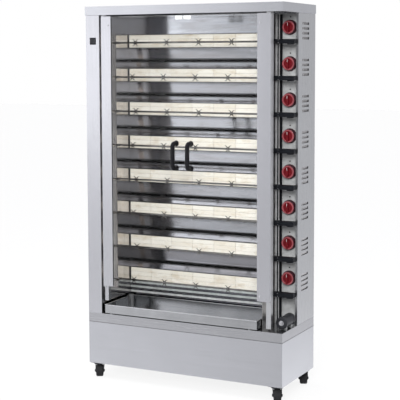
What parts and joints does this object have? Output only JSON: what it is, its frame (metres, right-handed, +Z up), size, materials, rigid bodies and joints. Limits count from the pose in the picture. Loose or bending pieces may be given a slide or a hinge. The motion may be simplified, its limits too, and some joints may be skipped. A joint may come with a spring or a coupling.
{
  "type": "rotisserie oven",
  "caption": "Tall floor-standing gas rotisserie oven with glass doors, stacked spits, a side drive bay and casters.",
  "frame": {"origin": "on the floor, under the middle of the whole object's box", "axes": "+Z up, the doors face -Y, the drive bay with the knobs is on +X"},
  "size_m": [1.106, 0.4699, 1.94],
  "materials": {
    "stainless": "brushed stainless sheet",
    "polished_steel": "polished stainless steel",
    "burner_ceramic": "porous infrared burner ceramic, cream",
    "door_glass": "clear tempered glass",
    "black_plastic": "satin black moulded plastic",
    "dark_metal": "dark painted or blackened steel",
    "red_knob": "red heat-resistant moulded plastic",
    "caster_tyre": "black caster tread"
  },
  "bodies": {
    "root": {"base_cabinet": "stainless", "base_frame": "dark_metal", "body_deck": "stainless", "left_side_panel": "stainless", "right_side_panel": "stainless", "back_panel": "stainless", "top_cap": "stainless", "left_cavity_wall": "stainless", "right_cavity_wall": "stainless", "cavity_back_wall": "stainless", "ceiling_panel": "stainless", "left_door_post": "stainless", "right_door_post": "stainless", "control_panel": "stainless", "gas_riser": "polished_steel", "gas_tap_bank": "dark_metal", "gas_regulator": "dark_metal", "cable_conduit": "black_plastic", "burner_bank": "burner_ceramic", "reflector_panel": "polished_steel", "left_spit_rail": "stainless", "gearmotor_1": "black_plastic", "gearmotor_2": "black_plastic", "gearmotor_3": "black_plastic", "gearmotor_4": "black_plastic", "gearmotor_5": "black_plastic", "gearmotor_6": "black_plastic", "gearmotor_7": "black_plastic", "gearmotor_8": "black_plastic"},
    "left_door": {"left_door_stile": "stainless", "left_door_glass": "door_glass", "left_door_handle": "black_plastic"},
    "right_door": {"right_door_stile": "stainless", "right_door_glass": "door_glass", "right_door_handle": "black_plastic"},
    "grease_tray": {"grease_tray": "stainless"},
    "spit_1": {"spit_1": "polished_steel"},
    "spit_2": {"spit_2": "polished_steel"},
    "spit_3": {"spit_3": "polished_steel"},
    "spit_4": {"spit_4": "polished_steel"},
    "spit_5": {"spit_5": "polished_steel"},
    "spit_6": {"spit_6": "polished_steel"},
    "spit_7": {"spit_7": "polished_steel"},
    "spit_8": {"spit_8": "polished_steel"},
    "knob_1": {"knob_1": "red_knob"},
    "knob_2": {"knob_2": "red_knob"},
    "knob_3": {"knob_3": "red_knob"},
    "knob_4": {"knob_4": "red_knob"},
    "knob_5": {"knob_5": "red_knob"},
    "knob_6": {"knob_6": "red_knob"},
    "knob_7": {"knob_7": "red_knob"},
    "knob_8": {"knob_8": "red_knob"},
    "caster_fork_front_left": {"caster_fork_front_left": "dark_metal"},
    "caster_wheel_front_left": {"caster_wheel_front_left": "caster_tyre"},
    "caster_fork_front_right": {"caster_fork_front_right": "dark_metal"},
    "caster_wheel_front_right": {"caster_wheel_front_right": "caster_tyre"},
    "caster_fork_rear_left": {"caster_fork_rear_left": "dark_metal"},
    "caster_wheel_rear_left": {"caster_wheel_rear_left": "caster_tyre"},
    "caster_fork_rear_right": {"caster_fork_rear_right": "dark_metal"},
    "caster_wheel_rear_right": {"caster_wheel_rear_right": "caster_tyre"}
  },
  "joints": [
    {"name": "left_door_hinge", "type": "hinge", "parent": "root", "child": "left_door", "pos_m": [-0.4505, -0.1796, 0.493], "axis": [0, 0, -1], "range_deg": [0, 110]},
    {"name": "right_door_hinge", "type": "hinge", "parent": "root", "child": "right_door", "pos_m": [0.479, -0.1796, 0.493], "axis": [0, 0, 1], "range_deg": [0, 110]},
    {"name": "tray_slide", "type": "slide", "parent": "root", "child": "grease_tray", "axis": [0, -1, 0], "range_m": [0, 0.27]},
    {"name": "spit_1_spin", "type": "hinge", "parent": "root", "child": "spit_1", "pos_m": [0, -0.005, 0.4995], "axis": [1, 0, 0], "continuous": true},
    {"name": "spit_2_spin", "type": "hinge", "parent": "root", "child": "spit_2", "pos_m": [0, -0.005, 0.679], "axis": [1, 0, 0], "continuous": true},
    {"name": "spit_3_spin", "type": "hinge", "parent": "root", "child": "spit_3", "pos_m": [0, -0.005, 0.8585], "axis": [1, 0, 0], "continuous": true},
    {"name": "spit_4_spin", "type": "hinge", "parent": "root", "child": "spit_4", "pos_m": [0, -0.005, 1.038], "axis": [1, 0, 0], "continuous": true},
    {"name": "spit_5_spin", "type": "hinge", "parent": "root", "child": "spit_5", "pos_m": [0, -0.005, 1.2175], "axis": [1, 0, 0], "continuous": true},
    {"name": "spit_6_spin", "type": "hinge", "parent": "root", "child": "spit_6", "pos_m": [0, -0.005, 1.397], "axis": [1, 0, 0], "continuous": true},
    {"name": "spit_7_spin", "type": "hinge", "parent": "root", "child": "spit_7", "pos_m": [0, -0.005, 1.5765], "axis": [1, 0, 0], "continuous": true},
    {"name": "spit_8_spin", "type": "hinge", "parent": "root", "child": "spit_8", "pos_m": [0, -0.005, 1.756], "axis": [1, 0, 0], "continuous": true},
    {"name": "knob_1_turn", "type": "hinge", "parent": "root", "child": "knob_1", "pos_m": [0.479, 0.079, 0.5695], "axis": [0, -1, 0], "range_deg": [0, 270]},
    {"name": "knob_2_turn", "type": "hinge", "parent": "root", "child": "knob_2", "pos_m": [0.479, 0.079, 0.749], "axis": [0, -1, 0], "range_deg": [0, 270]},
    {"name": "knob_3_turn", "type": "hinge", "parent": "root", "child": "knob_3", "pos_m": [0.479, 0.079, 0.9285], "axis": [0, -1, 0], "range_deg": [0, 270]},
    {"name": "knob_4_turn", "type": "hinge", "parent": "root", "child": "knob_4", "pos_m": [0.479, 0.079, 1.108], "axis": [0, -1, 0], "range_deg": [0, 270]},
    {"name": "knob_5_turn", "type": "hinge", "parent": "root", "child": "knob_5", "pos_m": [0.479, 0.079, 1.2875], "axis": [0, -1, 0], "range_deg": [0, 270]},
    {"name": "knob_6_turn", "type": "hinge", "parent": "root", "child": "knob_6", "pos_m": [0.479, 0.079, 1.467], "axis": [0, -1, 0], "range_deg": [0, 270]},
    {"name": "knob_7_turn", "type": "hinge", "parent": "root", "child": "knob_7", "pos_m": [0.479, 0.079, 1.6465], "axis": [0, -1, 0], "range_deg": [0, 270]},
    {"name": "knob_8_turn", "type": "hinge", "parent": "root", "child": "knob_8", "pos_m": [0.479, 0.079, 1.826], "axis": [0, -1, 0], "range_deg": [0, 270]},
    {"name": "caster_front_left_swivel", "type": "hinge", "parent": "root", "child": "caster_fork_front_left", "pos_m": [-0.509, -0.147, 0.0732], "axis": [0, 0, 1], "continuous": true},
    {"name": "caster_front_left_roll", "type": "hinge", "parent": "caster_fork_front_left", "child": "caster_wheel_front_left", "pos_m": [-0.50264, -0.15947, 0.031], "axis": [0.891, 0.454, 0], "continuous": true},
    {"name": "caster_front_right_swivel", "type": "hinge", "parent": "root", "child": "caster_fork_front_right", "pos_m": [0.509, -0.147, 0.0732], "axis": [0, 0, 1], "continuous": true},
    {"name": "caster_front_right_roll", "type": "hinge", "parent": "caster_fork_front_right", "child": "caster_wheel_front_right", "pos_m": [0.51536, -0.15947, 0.031], "axis": [0.891, 0.454, 0], "continuous": true},
    {"name": "caster_rear_left_swivel", "type": "hinge", "parent": "root", "child": "caster_fork_rear_left", "pos_m": [-0.509, 0.197, 0.0732], "axis": [0, 0, 1], "continuous": true},
    {"name": "caster_rear_left_roll", "type": "hinge", "parent": "caster_fork_rear_left", "child": "caster_wheel_rear_left", "pos_m": [-0.50264, 0.18453, 0.031], "axis": [0.891, 0.454, 0], "continuous": true},
    {"name": "caster_rear_right_swivel", "type": "hinge", "parent": "root", "child": "caster_fork_rear_right", "pos_m": [0.509, 0.197, 0.0732], "axis": [0, 0, 1], "continuous": true},
    {"name": "caster_rear_right_roll", "type": "hinge", "parent": "caster_fork_rear_right", "child": "caster_wheel_rear_right", "pos_m": [0.51536, 0.18453, 0.031], "axis": [0.891, 0.454, 0], "continuous": true}
  ]
}
